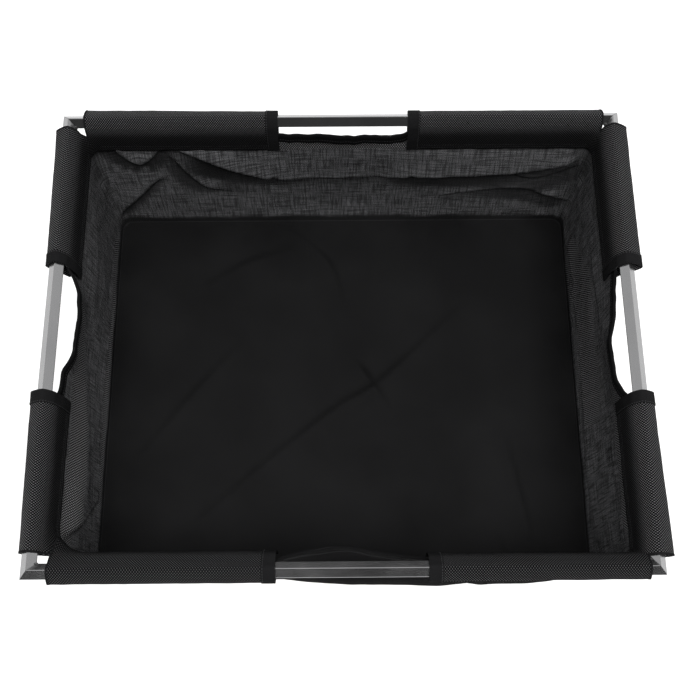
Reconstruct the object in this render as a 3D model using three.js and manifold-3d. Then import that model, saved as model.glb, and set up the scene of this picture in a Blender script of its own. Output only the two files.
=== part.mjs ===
// Garden cart: an open black fabric tub that hangs in a rim of square tube set on edge, over a
// base frame with four swivel casters. Millimetres, +Z up, +X along the cart's length.
// The origin is on the ground, under the middle of the tub.
import * as THREE from "three";
import { mergeVertices } from "three/addons/utils/BufferGeometryUtils.js";
import Module from "manifold-3d";

const manifold = await Module();
manifold.setup();

// Room kept between neighbouring pieces
const gap = 0.3;

// Rim: four mitred square tubes, each set on edge so that its ridge points up
const rimLength = 700;
const rimWidth = 576;
const railSide = 13;
const railCornerRadius = 1.2;
const railWall = 1;

// Tub
const tubDepth = 240;
const clothThickness = 2;
const seamDrop = 35; // from a rail's centre down to the seam under its sleeves
const seamInset = 9; // from a rail's centre in to the outer face of the wall, at the seam
const floorInset = 19.3; // the same, at the tub's floor
const sleeveSkin = 1.6;
const bindingDrop = 20; // from a rail's centre down to the bound edge in a handhold
const bindingThickness = 2.4;

// Base frame and deck
const baseLength = 700;
const baseWidth = 500;
const barSide = 25;
const barWall = 2;
const barCornerRadius = 3;
const deckThickness = 8;
const deckCorner = 12;
const postSide = 15;
const postWall = 1.5;
const postCornerRadius = 2;
const postX = 342;
const postY = 170;
const postTopDrop = 4; // from the rail's centre down to the tips of the notched post
const notchRoom = 2.5; // free cloth edge around a post

// Casters
const wheelRadius = 62.5;
const wheelFacets = 20;
const tyreWidth = 36;
const tyreSeatRadius = 49;
const axleRadius = 5;
const trail = 38;
const casterX = 236;
const casterY = 195;
const plateLength = 95;
const plateWidth = 70;
const plateThickness = 4;
const plateTop = 155;
const boltSpacingX = 75;
const boltSpacingY = 50;
const boltHoleRadius = 4.5;
const crossPlateWidth = 104;
const crossPlateThickness = 4;
const crownTop = 137;
const crownThickness = 6;
const legInner = 21;
const legThickness = 3.5;
const kingpinRadius = 6;
const kingpinHead = 4.5;
const raceInner = 18;
const raceOuter = 31;
const raceFacets = 20;
const boltHoleFacets = 8;
const nutRadius = 9.5;
const brakePivotX = -84;
const brakePivotZ = 120;
const brakePinRadius = 3;

// Heights and centre lines that follow
const barBottom = plateTop + gap + crossPlateThickness + gap;
const deckBottom = barBottom + barSide + gap;
const tubBottom = deckBottom + deckThickness + gap;
const railZ = tubBottom + clothThickness + tubDepth;
const railReach = railSide / Math.SQRT2 - railCornerRadius * (Math.SQRT2 - 1);
const railX = rimLength / 2 - railReach;
const railY = rimWidth / 2 - railReach;
const barX = baseLength / 2 - barSide / 2;
const barY = baseWidth / 2 - barSide / 2;

// Each side is drawn as the front one, facing -Y, and turned into place.
// sleeves: where its two sleeves start and end along the rail; handhold: the bare stretch between.
// The hung cloth has slipped a little along its rails, so the numbers aren't symmetric.
const sides = [
  { name: "front", turn: 0, rim: [railX, railY], base: [barX, barY], sleeves: [-320, 329], handhold: [-74, 93] },
  { name: "right", turn: 1, rim: [railY, railX], base: [barY, barX], sleeves: [-267, 267], handhold: [-82, 76] },
  { name: "back", turn: 2, rim: [railX, railY], base: [barX, barY], sleeves: [-329, 322], handhold: [-85, 80] },
  { name: "left", turn: 3, rim: [railY, railX], base: [barY, barX], sleeves: [-267, 267], handhold: [-83, 76] },
];

// Brakes are on the left pair
const casters = [
  { name: "front_left", x: -casterX, y: -casterY, braked: true },
  { name: "back_left", x: -casterX, y: casterY, braked: true },
  { name: "front_right", x: casterX, y: -casterY, braked: false },
  { name: "back_right", x: casterX, y: casterY, braked: false },
];

// Solid joins and cuts
function toSolid(geometry) {
  const bare = geometry.index ? geometry.toNonIndexed() : geometry.clone();
  bare.deleteAttribute("normal");
  bare.deleteAttribute("uv");
  const merged = mergeVertices(bare, 1e-4);
  return new manifold.Manifold(
    new manifold.Mesh({
      numProp: 3,
      vertProperties: new Float32Array(merged.attributes.position.array),
      triVerts: new Uint32Array(merged.index.array),
    }),
  );
}

function toGeometry(solid) {
  const mesh = solid.getMesh();
  const geometry = new THREE.BufferGeometry();
  geometry.setAttribute("position", new THREE.BufferAttribute(new Float32Array(mesh.vertProperties), 3));
  geometry.setIndex(new THREE.BufferAttribute(new Uint32Array(mesh.triVerts), 1));
  geometry.computeVertexNormals();
  return geometry;
}

function joined(...geometries) {
  return toGeometry(geometries.map(toSolid).reduce((whole, next) => whole.add(next)));
}

function cut(geometry, ...tools) {
  return toGeometry(tools.map(toSolid).reduce((left, tool) => left.subtract(tool), toSolid(geometry)));
}

// Plain shapes
function box(length, width, height, x, y, z) {
  return new THREE.BoxGeometry(length, width, height).translate(x, y, z);
}

function extruded(shape, depth, curveSegments = 6) {
  return new THREE.ExtrudeGeometry(shape, { depth, bevelEnabled: false, curveSegments });
}

function polygon(points) {
  return new THREE.Shape(points.map(([x, y]) => new THREE.Vector2(x, y)));
}

function roundedRectangle(length, width, radius) {
  const x = length / 2 - radius;
  const y = width / 2 - radius;
  const shape = new THREE.Shape();
  shape.absarc(x, y, radius, 0, Math.PI / 2);
  shape.absarc(-x, y, radius, Math.PI / 2, Math.PI);
  shape.absarc(-x, -y, radius, Math.PI, Math.PI * 1.5);
  shape.absarc(x, -y, radius, Math.PI * 1.5, Math.PI * 2);
  shape.closePath();
  return shape;
}

// A round hole, faceted so that a round pin of the radius passes
function roundHole(x, y, radius, facets = 16) {
  const outer = radius / Math.cos(Math.PI / facets);
  const angles = Array.from({ length: facets }, (_, i) => (i * Math.PI * 2) / facets);
  return polygon(angles.map((angle) => [x + outer * Math.cos(angle), y + outer * Math.sin(angle)]));
}

function squareTube(side, wall, radius) {
  const shape = roundedRectangle(side, side, radius);
  const inner = side / 2 - wall;
  shape.holes.push(polygon([[inner, inner], [-inner, inner], [-inner, -inner], [inner, -inner]]));
  return shape;
}

// A shape and its holes, turned 45 degrees
function onEdge(shape) {
  const turned = (points) => points.map((p) => p.clone().rotateAround(new THREE.Vector2(), Math.PI / 4));
  const result = new THREE.Shape(turned(shape.getPoints(3)));
  result.holes = shape.holes.map((hole) => new THREE.Path(turned(hole.getPoints())));
  return result;
}

// A bar along X whose section is drawn as (outward, up), mitred at 45 degrees at both ends.
// halfLength is measured at outward = 0.
function mitredBar(section, halfLength) {
  const geometry = extruded(section, 2, 3);
  const position = geometry.attributes.position;
  for (let i = 0; i < position.count; i += 1) {
    const outward = position.getX(i);
    const up = position.getY(i);
    const end = position.getZ(i) > 1 ? -1 : 1;
    position.setXYZ(i, end * (halfLength + outward - gap * Math.SQRT1_2), -outward, up);
  }
  geometry.computeVertexNormals();
  return geometry;
}

// The same section as a straight bar from start to end
function straightBar(section, start, end) {
  const geometry = extruded(section, end - start);
  const position = geometry.attributes.position;
  for (let i = 0; i < position.count; i += 1) {
    const along = end - position.getZ(i);
    position.setXYZ(i, along, -position.getX(i), position.getY(i));
  }
  geometry.computeVertexNormals();
  return geometry;
}

// A round piece about Z, from its [radius, height] outline
function turnedPiece(outline, facets) {
  const points = outline.map(([radius, height]) => new THREE.Vector2(radius, height));
  return new THREE.LatheGeometry(points, facets).rotateX(Math.PI / 2);
}

// A closed ring about Z, its outline ending where it starts
function turnedRing(outline, facets) {
  return turnedPiece([...outline, outline[0]], facets);
}

// Materials
const materials = {
  rimPaint: new THREE.MeshStandardMaterial({ color: 0x8f9095, roughness: 0.42, metalness: 0.55 }),
  cloth: new THREE.MeshStandardMaterial({ color: 0x242426, roughness: 0.85, metalness: 0 }),
  wallCloth: new THREE.MeshStandardMaterial({ color: 0x2b2b2e, roughness: 0.75, metalness: 0 }),
  webbing: new THREE.MeshStandardMaterial({ color: 0x151516, roughness: 0.9, metalness: 0 }),
  basePaint: new THREE.MeshStandardMaterial({ color: 0x85868b, roughness: 0.45, metalness: 0.5 }),
  deck: new THREE.MeshStandardMaterial({ color: 0xa9865c, roughness: 0.7, metalness: 0 }),
  zinc: new THREE.MeshStandardMaterial({ color: 0xb9bbbd, roughness: 0.35, metalness: 0.9 }),
  hub: new THREE.MeshStandardMaterial({ color: 0x4a4c4f, roughness: 0.55, metalness: 0 }),
  tyre: new THREE.MeshStandardMaterial({ color: 0x1b1b1c, roughness: 0.9, metalness: 0 }),
  pedal: new THREE.MeshStandardMaterial({ color: 0x9b1f1b, roughness: 0.5, metalness: 0 }),
};

function part(name, geometry, material) {
  const mesh = new THREE.Mesh(geometry, material);
  mesh.name = name;
  return mesh;
}

// Rim
function rimRail(side) {
  const section = onEdge(squareTube(railSide, railWall, railCornerRadius));
  return part(`rim_rail_${side.name}`, mitredBar(section, side.rim[0]), materials.rimPaint);
}

// A sleeve is a sewn loop of cloth: over the rail's ridge, down the outside, and back under the
// rail to the seam, where it meets the straight inner flap
function sleeveSection() {
  const clear = railReach + gap * 2;
  const out = clear + sleeveSkin;
  const skirt = -clear;
  const shape = polygon([
    [1, out],
    [-1, out],
    [-out, 1],
    [-seamInset - clothThickness, -seamDrop],
    [-seamInset + 1, -seamDrop],
    [out, skirt],
    [out, 1],
  ]);
  shape.holes.push(
    polygon([
      [0, clear],
      [clear, 0],
      [clear, skirt + 1],
      [-seamInset, -seamDrop + 5],
      [-clear, 0],
    ]),
  );
  return shape;
}

function sleeve(side, place, start, end, post) {
  let geometry = straightBar(sleeveSection(), start, end);
  if (post !== null) {
    // The slot takes the sleeve's outer side, up to just above the post's tips
    const reach = 40;
    const drop = 60;
    const slotY = seamInset - 1 - reach / 2;
    const slotZ = notchRoom / 2 - postTopDrop - drop / 2;
    geometry = cut(geometry, box(postSide + notchRoom * 2, reach, drop, post, slotY, slotZ));
  }
  return part(`tub_sleeve_${side.name}_${place}`, geometry, materials.cloth);
}

function sleeves(side) {
  const hasPosts = side.turn % 2 === 1;
  const [first, last] = side.sleeves;
  const [open, close] = side.handhold;
  return [
    sleeve(side, "a", first, open, hasPosts ? -postY : null),
    sleeve(side, "b", close, last, hasPosts ? postY : null),
  ];
}

// The bound edge of the wall, between the two sleeves of a side
function binding(side) {
  const [start, end] = side.handhold;
  const inner = -seamInset - clothThickness;
  const section = polygon([
    [inner, -seamDrop + gap],
    [inner + bindingThickness, -seamDrop + gap],
    [inner + bindingThickness, -bindingDrop],
    [inner, -bindingDrop],
  ]);
  const geometry = straightBar(section, start + gap, end - gap);
  return part(`tub_binding_${side.name}`, geometry, materials.webbing);
}

function tubWall(side) {
  const top = -seamDrop - gap;
  const bottom = tubBottom - railZ;
  const section = polygon([
    [-seamInset, top],
    [-seamInset - clothThickness, top],
    [-floorInset - clothThickness, bottom],
    [-floorInset, bottom],
  ]);
  return part(`tub_wall_${side.name}`, mitredBar(section, side.rim[0]), materials.wallCloth);
}

function tubFloor() {
  const inset = floorInset + clothThickness + gap;
  const length = (railX - inset) * 2;
  const width = (railY - inset) * 2;
  const floor = box(length, width, clothThickness, 0, 0, tubBottom + clothThickness / 2);
  return part("tub_floor", floor, materials.cloth);
}

// Base frame
function baseBar(side) {
  const section = squareTube(barSide, barWall, barCornerRadius);
  return part(`base_bar_${side.name}`, mitredBar(section, side.base[0]), materials.basePaint);
}

function deckBoard() {
  const length = (postX - postSide / 2 - 1) * 2;
  const shape = roundedRectangle(length, baseWidth - 2, deckCorner);
  return part("deck_board", extruded(shape, deckThickness).translate(0, 0, deckBottom), materials.deck);
}

// Stands on a base bar; its notched top cradles the rail
function post(name, x, y) {
  const bottom = barBottom + barSide + gap;
  const tube = extruded(squareTube(postSide, postWall, postCornerRadius), railZ - postTopDrop - bottom, 3);
  const railCutter = new THREE.BoxGeometry(railSide + gap * 2, postSide * 2, railSide + gap * 2)
    .rotateY(Math.PI / 4)
    .translate(Math.sign(x) * (railX - postX), 0, railZ - bottom);
  const notched = cut(tube, railCutter);
  const mesh = part(`post_${name}`, notched, materials.basePaint);
  mesh.position.set(x, y, bottom);
  return mesh;
}

// Flat steel across the base, which the casters bolt to
function crossPlate(name, x) {
  const shape = roundedRectangle(crossPlateWidth, baseWidth, 6);
  for (const y of [-casterY, casterY]) {
    for (const [dx, dy] of boltPlaces()) {
      shape.holes.push(roundHole(dx, y + dy, boltHoleRadius, boltHoleFacets));
    }
  }
  const mesh = part(`caster_cross_plate_${name}`, extruded(shape, crossPlateThickness, 3), materials.basePaint);
  mesh.position.set(x, 0, plateTop + gap);
  return mesh;
}

function boltPlaces() {
  const x = boltSpacingX / 2;
  const y = boltSpacingY / 2;
  return [[x, y], [-x, y], [-x, -y], [x, -y]];
}

// Casters, each drawn with its swivel axis on the origin's Z and its wheel trailing towards -X
function casterPlate(name) {
  const shape = roundedRectangle(plateLength, plateWidth, 8);
  for (const [x, y] of boltPlaces()) {
    shape.holes.push(roundHole(x, y, boltHoleRadius, boltHoleFacets));
  }
  shape.holes.push(roundHole(0, 0, kingpinRadius + gap));
  const plate = extruded(shape, plateThickness, 5).translate(0, 0, plateTop - plateThickness);
  const race = turnedRing(
    [
      [raceInner, crownTop + 4.4],
      [raceOuter - 2, crownTop + 4.4],
      [raceOuter, crownTop + 6.5],
      [raceOuter, plateTop - plateThickness + 1],
      [raceInner, plateTop - plateThickness + 1],
    ],
    raceFacets,
  );
  return part(`caster_plate_${name}`, joined(plate, race), materials.zinc);
}

function kingpin(name) {
  const headTop = crownTop - crownThickness - gap;
  const headBottom = headTop - kingpinHead;
  const outline = [
    [0, headBottom],
    [8, headBottom],
    [10, headBottom + 1.5],
    [10, headTop],
    [kingpinRadius, headTop],
    [kingpinRadius, plateTop - gap],
    [0, plateTop - gap],
  ];
  return part(`caster_kingpin_${name}`, turnedPiece(outline, 16), materials.zinc);
}

// One cheek of the fork, in (X, Z); a braked fork has an ear for the pedal's pin
function forkCheek(braked) {
  const boss = 13;
  const shape = new THREE.Shape();
  shape.moveTo(27, crownTop);
  shape.lineTo(-34, crownTop);
  if (braked) {
    shape.lineTo(brakePivotX, brakePivotZ + 7);
    shape.absarc(brakePivotX, brakePivotZ, 7, Math.PI / 2, Math.PI * 1.3);
    shape.lineTo(-66, 100);
  } else {
    shape.lineTo(-54, 108);
  }
  shape.absarc(-trail, wheelRadius, boss, Math.PI, Math.PI * 2);
  shape.lineTo(18, 112);
  shape.closePath();
  shape.holes.push(roundHole(-trail, wheelRadius, axleRadius + gap));
  if (braked) {
    shape.holes.push(roundHole(brakePivotX, brakePivotZ, brakePinRadius + gap));
  }
  return extruded(shape, legThickness, 4).rotateX(Math.PI / 2);
}

function fork(name, braked) {
  const nearCheek = forkCheek(braked).translate(0, -legInner, 0);
  const farCheek = forkCheek(braked).translate(0, legInner + legThickness, 0);
  const width = (legInner + legThickness) * 2;
  const crown = box(61, width, crownThickness, -3.5, 0, crownTop - crownThickness / 2);
  const raceOutline = [[0, crownTop - 1], [raceOuter, crownTop - 1], [raceOuter, crownTop + 4], [0, crownTop + 4]];
  const race = turnedPiece(raceOutline, raceFacets);
  const bore = turnedPiece([[0, 120], [kingpinRadius + gap, 120], [kingpinRadius + gap, 150], [0, 150]], 16);
  return part(`caster_fork_${name}`, cut(joined(nearCheek, farCheek, crown, race), bore), materials.zinc);
}

// Bolt and nut; the head faces -Y
function axle(name) {
  const cheek = legInner + legThickness + gap;
  const shaft = new THREE.CylinderGeometry(axleRadius, axleRadius, cheek * 2 + 20, 16);
  const head = new THREE.CylinderGeometry(nutRadius, nutRadius, 6, 6).translate(0, -cheek - 3, 0);
  const nut = new THREE.CylinderGeometry(nutRadius, nutRadius, 8, 6).translate(0, cheek + 4, 0);
  const beyondHead = box(30, 30, 30, 0, -cheek - 6 - 15, 0);
  const trimmed = cut(joined(shaft, head, nut), beyondHead);
  const mesh = part(`caster_axle_${name}`, trimmed, materials.zinc);
  mesh.position.set(-trail, 0, wheelRadius);
  return mesh;
}

// The wheel's two pieces turn about Y, the axis a lathe shape has already. A facet faces down.
function wheelPiece(name, outline, material) {
  const points = [...outline, outline[0]].map(([radius, y]) => new THREE.Vector2(radius, y));
  const geometry = new THREE.LatheGeometry(points, wheelFacets, Math.PI / wheelFacets);
  const mesh = part(name, geometry, material);
  mesh.position.set(-trail, 0, wheelRadius);
  return mesh;
}

function hub(name) {
  const bore = axleRadius + gap;
  const bossWidth = legInner - gap * 2;
  const rimWidthHalf = tyreWidth / 2 - 2;
  const outline = [
    [bore, -bossWidth],
    [13, -bossWidth],
    [15, -7],
    [40, -5],
    [42, -rimWidthHalf],
    [tyreSeatRadius, -rimWidthHalf],
    [tyreSeatRadius, rimWidthHalf],
    [42, rimWidthHalf],
    [40, 5],
    [15, 7],
    [13, bossWidth],
    [bore, bossWidth],
  ];
  return wheelPiece(`caster_hub_${name}`, outline, materials.hub);
}

function tyre(name) {
  const tread = wheelRadius / Math.cos(Math.PI / wheelFacets);
  const seat = (tyreSeatRadius + gap) / Math.cos(Math.PI / wheelFacets);
  const half = tyreWidth / 2;
  const outline = [
    [seat, -half + 1.5],
    [tread - 7, -half],
    [tread - 2, -half + 4],
    [tread, -half + 9],
    [tread, half - 9],
    [tread - 2, half - 4],
    [tread - 7, half],
    [seat, half - 1.5],
  ];
  return wheelPiece(`caster_tyre_${name}`, outline, materials.tyre);
}

// Foot pedal with its cam, drawn about its pin
function brakePedal(name) {
  const width = (legInner - gap * 2) * 2;
  const pinLength = (legInner + legThickness) * 2;
  const barrel = new THREE.CylinderGeometry(6, 6, width, 16);
  const pin = new THREE.CylinderGeometry(brakePinRadius, brakePinRadius, pinLength, 12);
  const profile = polygon([[2, 6], [-6, 5.5], [-28, 12], [-28, 8], [-6, -1], [-1.5, -9.5], [3.5, -9.5], [5.5, 0]]);
  const lever = extruded(profile, width - 6).rotateX(Math.PI / 2).translate(0, width / 2 - 3, 0);
  const mesh = part(`caster_brake_pedal_${name}`, joined(barrel, pin, lever), materials.pedal);
  mesh.position.set(brakePivotX, 0, brakePivotZ);
  return mesh;
}

function caster({ name, x, y, braked }) {
  const group = new THREE.Group();
  group.position.set(x, y, 0);
  group.add(casterPlate(name), kingpin(name), fork(name, braked), axle(name), hub(name), tyre(name));
  if (braked) {
    group.add(brakePedal(name));
  }
  return group;
}

// Assembly
const cart = new THREE.Group();
for (const side of sides) {
  const rimSide = new THREE.Group();
  rimSide.add(rimRail(side), ...sleeves(side), binding(side), tubWall(side));
  for (const mesh of rimSide.children) {
    mesh.position.y = -side.rim[1];
  }
  rimSide.position.z = railZ;
  rimSide.rotation.z = (side.turn * Math.PI) / 2;
  const baseSide = new THREE.Group();
  baseSide.add(baseBar(side));
  baseSide.children[0].position.set(0, -side.base[1], barBottom + barSide / 2);
  baseSide.rotation.z = (side.turn * Math.PI) / 2;
  cart.add(rimSide, baseSide);
}
cart.add(tubFloor(), deckBoard());
cart.add(crossPlate("left", -casterX), crossPlate("right", casterX));
cart.add(post("front_left", -postX, -postY), post("front_right", postX, -postY));
cart.add(post("back_left", -postX, postY), post("back_right", postX, postY));
cart.add(...casters.map(caster));

export default cart;
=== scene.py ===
import math

import bpy
import numpy as np
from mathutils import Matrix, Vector, noise


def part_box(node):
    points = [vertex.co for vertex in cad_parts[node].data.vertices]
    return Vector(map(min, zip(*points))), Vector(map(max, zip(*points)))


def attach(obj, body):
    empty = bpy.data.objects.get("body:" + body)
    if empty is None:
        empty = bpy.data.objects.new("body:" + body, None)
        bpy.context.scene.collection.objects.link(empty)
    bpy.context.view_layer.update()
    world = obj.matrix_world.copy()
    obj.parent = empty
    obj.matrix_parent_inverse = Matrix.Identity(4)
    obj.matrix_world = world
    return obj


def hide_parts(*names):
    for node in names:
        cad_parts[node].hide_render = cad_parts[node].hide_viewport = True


# Garden cart: a black cloth tub sewn onto a rim of square tube, over a base with four casters.
# Metres; lists of cloth shapes are in millimetres and are turned to metres where they are used.
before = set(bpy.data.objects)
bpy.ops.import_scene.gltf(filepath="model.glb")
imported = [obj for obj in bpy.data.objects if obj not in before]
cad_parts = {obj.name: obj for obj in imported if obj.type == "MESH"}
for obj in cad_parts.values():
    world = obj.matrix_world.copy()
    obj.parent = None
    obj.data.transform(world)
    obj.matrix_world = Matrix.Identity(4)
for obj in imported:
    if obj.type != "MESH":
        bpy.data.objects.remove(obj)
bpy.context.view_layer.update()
scene = bpy.context.scene
bpy.ops.object.select_all(action="DESELECT")
mm = 0.001


def middle(node):
    low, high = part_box(node)
    return (low + high) / 2


def size(node):
    low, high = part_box(node)
    return high - low


# The rim's four sides: along a rail, and outward from the tub
rimSides = {
    "front": {"along": Vector((1, 0, 0)), "out": Vector((0, -1, 0)), "next": "right"},
    "right": {"along": Vector((0, 1, 0)), "out": Vector((1, 0, 0)), "next": "front"},
    "back": {"along": Vector((1, 0, 0)), "out": Vector((0, 1, 0)), "next": "right"},
    "left": {"along": Vector((0, 1, 0)), "out": Vector((-1, 0, 0)), "next": "front"},
}
for sideName, side in rimSides.items():
    side["reach"] = middle("rim_rail_" + sideName).dot(side["out"])
for side in rimSides.values():
    side["endReach"] = rimSides[side["next"]]["reach"]
railZ = middle("rim_rail_front").z
railHalf = size("rim_rail_front").z / 2
floorZ = middle("tub_floor").z
floorDepth = railZ - floorZ
print("frame read: rim at", round(railZ, 4), "tub depth", round(floorDepth, 4))


# Small helpers
def place(side, along, out, up):
    # from (along the rail, outward of its centre line, above it) to the row frame
    alongAxis = np.array(side["along"])
    outAxis = np.array(side["out"])
    upAxis = np.array((0.0, 0.0, 1.0))
    return (
        np.multiply.outer(along, alongAxis)
        + np.multiply.outer(out + side["reach"], outAxis)
        + np.multiply.outer(up + railZ, upAxis)
    )


def only(piece):
    bpy.ops.object.select_all(action="DESELECT")
    piece.select_set(True)
    bpy.context.view_layer.objects.active = piece


def settle(piece):
    # puts the piece's place into its mesh
    only(piece)
    bpy.ops.object.transform_apply(location=True, rotation=True, scale=True)


def applied(piece, kind, **settings):
    only(piece)
    modifier = piece.modifiers.new(kind.title(), kind)
    for name, value in settings.items():
        setattr(modifier, name, value)
    bpy.ops.object.modifier_apply(modifier=modifier.name)
    return piece


def join(name, pieces):
    bpy.ops.object.select_all(action="DESELECT")
    for piece in pieces:
        piece.select_set(True)
    bpy.context.view_layer.objects.active = pieces[0]
    bpy.ops.object.join()
    whole = bpy.context.view_layer.objects.active
    whole.name = name
    return whole


def belongs(piece, body, slot, material, *nodes):
    piece.data.materials.clear()
    piece.data.materials.append(material)
    if nodes:
        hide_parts(*nodes)
    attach(piece, body)
    return piece


def clothGrid(name, points, flat, facing, hole=None, painted=None):
    # a sheet through rows and columns of points; flat holds each point's place on the cut cloth,
    # painted holds values at the points for the material to read
    rows, columns = points.shape[:2]
    corner = np.arange(rows * columns).reshape(rows, columns)
    faces = np.stack([corner[:-1, :-1], corner[:-1, 1:], corner[1:, 1:], corner[1:, :-1]], axis=-1)
    if hole is not None:
        faces = faces[~hole[: rows - 1, : columns - 1]]
    faces = faces.reshape(-1, 4)
    vertices = points.reshape(-1, 3)
    a, b, c, d = (vertices[faces[:, i]] for i in range(4))
    normal = np.cross(c - a, d - b)
    if (normal * facing(vertices[faces].mean(axis=1))).sum() < 0:
        faces = faces[:, ::-1]
    mesh = bpy.data.meshes.new(name)
    mesh.from_pydata(vertices.tolist(), [], faces.tolist())
    layer = mesh.uv_layers.new(name="cut")
    used = np.zeros(len(mesh.loops), np.int32)
    mesh.loops.foreach_get("vertex_index", used)
    layer.data.foreach_set("uv", flat.reshape(-1, 2)[used].ravel().astype(np.float32))
    for label, values in (painted or {}).items():
        attribute = mesh.attributes.new(label, "FLOAT", "POINT")
        attribute.data.foreach_set("value", values.ravel().astype(np.float32))
    piece = bpy.data.objects.new(name, mesh)
    scene.collection.objects.link(piece)
    only(piece)
    bpy.ops.object.mode_set(mode="EDIT")
    bpy.ops.mesh.select_all(action="SELECT")
    bpy.ops.mesh.delete_loose()
    bpy.ops.object.mode_set(mode="OBJECT")
    bpy.ops.object.shade_smooth()
    return piece


def lumps(x, y, scaleX, scaleY, seed):
    # smooth unevenness from -1 to 1, the same each run
    shape = np.broadcast(x, y).shape
    xs = np.broadcast_to(x, shape).ravel() / scaleX
    ys = np.broadcast_to(y, shape).ravel() / scaleY
    values = [noise.noise(Vector((u, v, seed * 7.31))) for u, v in zip(xs, ys)]
    return np.array(values).reshape(shape)


def smoothStep(value):
    value = np.clip(value, 0, 1)
    return value * value * (3 - 2 * value)


def curveThrough(points, count):
    # evenly spaced points on a smooth curve through a few
    points = np.array(points, float)
    ends = np.vstack([2 * points[0] - points[1], points, 2 * points[-1] - points[-2]])
    parts = []
    for p0, p1, p2, p3 in zip(ends[:-3], ends[1:-2], ends[2:-1], ends[3:]):
        t = np.linspace(0, 1, 12, endpoint=False)[:, None]
        square = (2 * p0 - 5 * p1 + 4 * p2 - p3) * t**2
        cube = (3 * p1 - p0 - 3 * p2 + p3) * t**3
        parts.append(0.5 * (2 * p1 + (p2 - p0) * t + square + cube))
    fine = np.vstack(parts + [points[-1:]])
    along = np.concatenate([[0], np.cumsum(np.linalg.norm(np.diff(fine, axis=0), axis=1))])
    at = np.linspace(0, along[-1], count)
    return np.stack([np.interp(at, along, fine[:, k]) for k in range(fine.shape[1])], axis=1)


def table(pairs, at):
    # a value read off a few (place, value) pairs, smoothly
    pairs = np.array(sorted(pairs), float)
    fine = np.linspace(pairs[0, 0], pairs[-1, 0], 200)
    values = np.interp(fine, pairs[:, 0], pairs[:, 1])
    soft = np.convolve(np.pad(values, 6, mode="edge"), np.ones(13) / 13, mode="valid")
    return np.interp(at, fine, soft)


# Materials
class Nodes:
    def __init__(self, name):
        self.material = bpy.data.materials.new(name)
        self.material.use_nodes = True
        self.tree = self.material.node_tree
        self.shader = self.tree.nodes["Principled BSDF"]
        self.column = 0

    def link(self, output, socket):
        self.tree.links.new(output, socket)

    def feed(self, value, socket):
        # value: another node's output, or a plain number or colour
        if hasattr(value, "is_output"):
            self.link(value, socket)
        else:
            socket.default_value = value

    def add(self, kind, settings=None, **inputs):
        node = self.tree.nodes.new("ShaderNode" + kind)
        self.column += 1
        node.location = (-200 * self.column, -60 * (self.column % 5))
        for name, value in (settings or {}).items():
            setattr(node, name, value)
        for name, value in inputs.items():
            self.feed(value, node.inputs[name])
        return node

    def math(self, operation, a, b=0.0):
        node = self.add("Math", {"operation": operation})
        self.feed(a, node.inputs[0])
        self.feed(b, node.inputs[1])
        return node.outputs[0]

    def spread(self, value, fromLow, fromHigh, low, high):
        node = self.add("MapRange")
        self.link(value, node.inputs["Value"])
        limits = {"From Min": fromLow, "From Max": fromHigh, "To Min": low, "To Max": high}
        for name, number in limits.items():
            node.inputs[name].default_value = number
        return node.outputs["Result"]

    def ramp(self, value, stops):
        node = self.add("ValToRGB")
        self.link(value, node.inputs["Fac"])
        while len(node.color_ramp.elements) < len(stops):
            node.color_ramp.elements.new(0.5)
        for element, (position, color) in zip(node.color_ramp.elements, stops):
            element.position = position
            element.color = (*color, 1)
        return node.outputs["Color"]

    def mixColor(self, factor, a, b, blend="MIX"):
        node = self.add("Mix", {"data_type": "RGBA", "blend_type": blend})
        for index, value in ((0, factor), (6, a), (7, b)):
            self.feed(value, node.inputs[index])
        return node.outputs[2]

    def mixValue(self, factor, a, b):
        node = self.add("Mix", {"data_type": "FLOAT"})
        for index, value in ((0, factor), (2, a), (3, b)):
            self.feed(value, node.inputs[index])
        return node.outputs[0]

    def bump(self, height, distance, strength=1.0, under=None):
        node = self.add("Bump", Strength=strength, Distance=distance)
        self.link(height, node.inputs["Height"])
        if under is not None:
            self.link(under, node.inputs["Normal"])
        return node.outputs["Normal"]

    def noiseAt(self, place, scale, detail=3.0, roughness=0.5, stretch=(1, 1, 1)):
        mapping = self.add("Mapping", Scale=stretch)
        self.link(place, mapping.inputs["Vector"])
        node = self.add("TexNoise", Scale=scale, Detail=detail, Roughness=roughness)
        self.link(mapping.outputs["Vector"], node.inputs["Vector"])
        return node.outputs["Fac"]

    def finish(self, color, roughness, normal, **sockets):
        self.link(color, self.shader.inputs["Base Color"])
        self.link(roughness, self.shader.inputs["Roughness"])
        self.link(normal, self.shader.inputs["Normal"])
        for name, value in sockets.items():
            self.shader.inputs[name.replace("_", " ")].default_value = value
        return self.material


def dotLattice(n, cut, across, down):
    # staggered dots, so far apart across and down
    cell = n.add("Mapping", Scale=(1 / across, 1 / down, 1))
    n.link(cut, cell.inputs["Vector"])
    slanted = n.add("Mapping", Rotation=(0, 0, math.radians(45)))
    n.link(cell.outputs["Vector"], slanted.inputs["Vector"])
    onePerCell = math.pi / 10 * math.sqrt(2)
    waves = []
    for direction in ("X", "Y"):
        wave = n.add("TexWave", {"wave_type": "BANDS", "bands_direction": direction}, Scale=onePerCell)
        n.link(slanted.outputs["Vector"], wave.inputs["Vector"])
        wave.inputs["Distortion"].default_value = 0.3
        wave.inputs["Detail Scale"].default_value = 0.15
        waves.append(wave.outputs["Fac"])
    return n.math("MULTIPLY", waves[0], waves[1])


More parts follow.
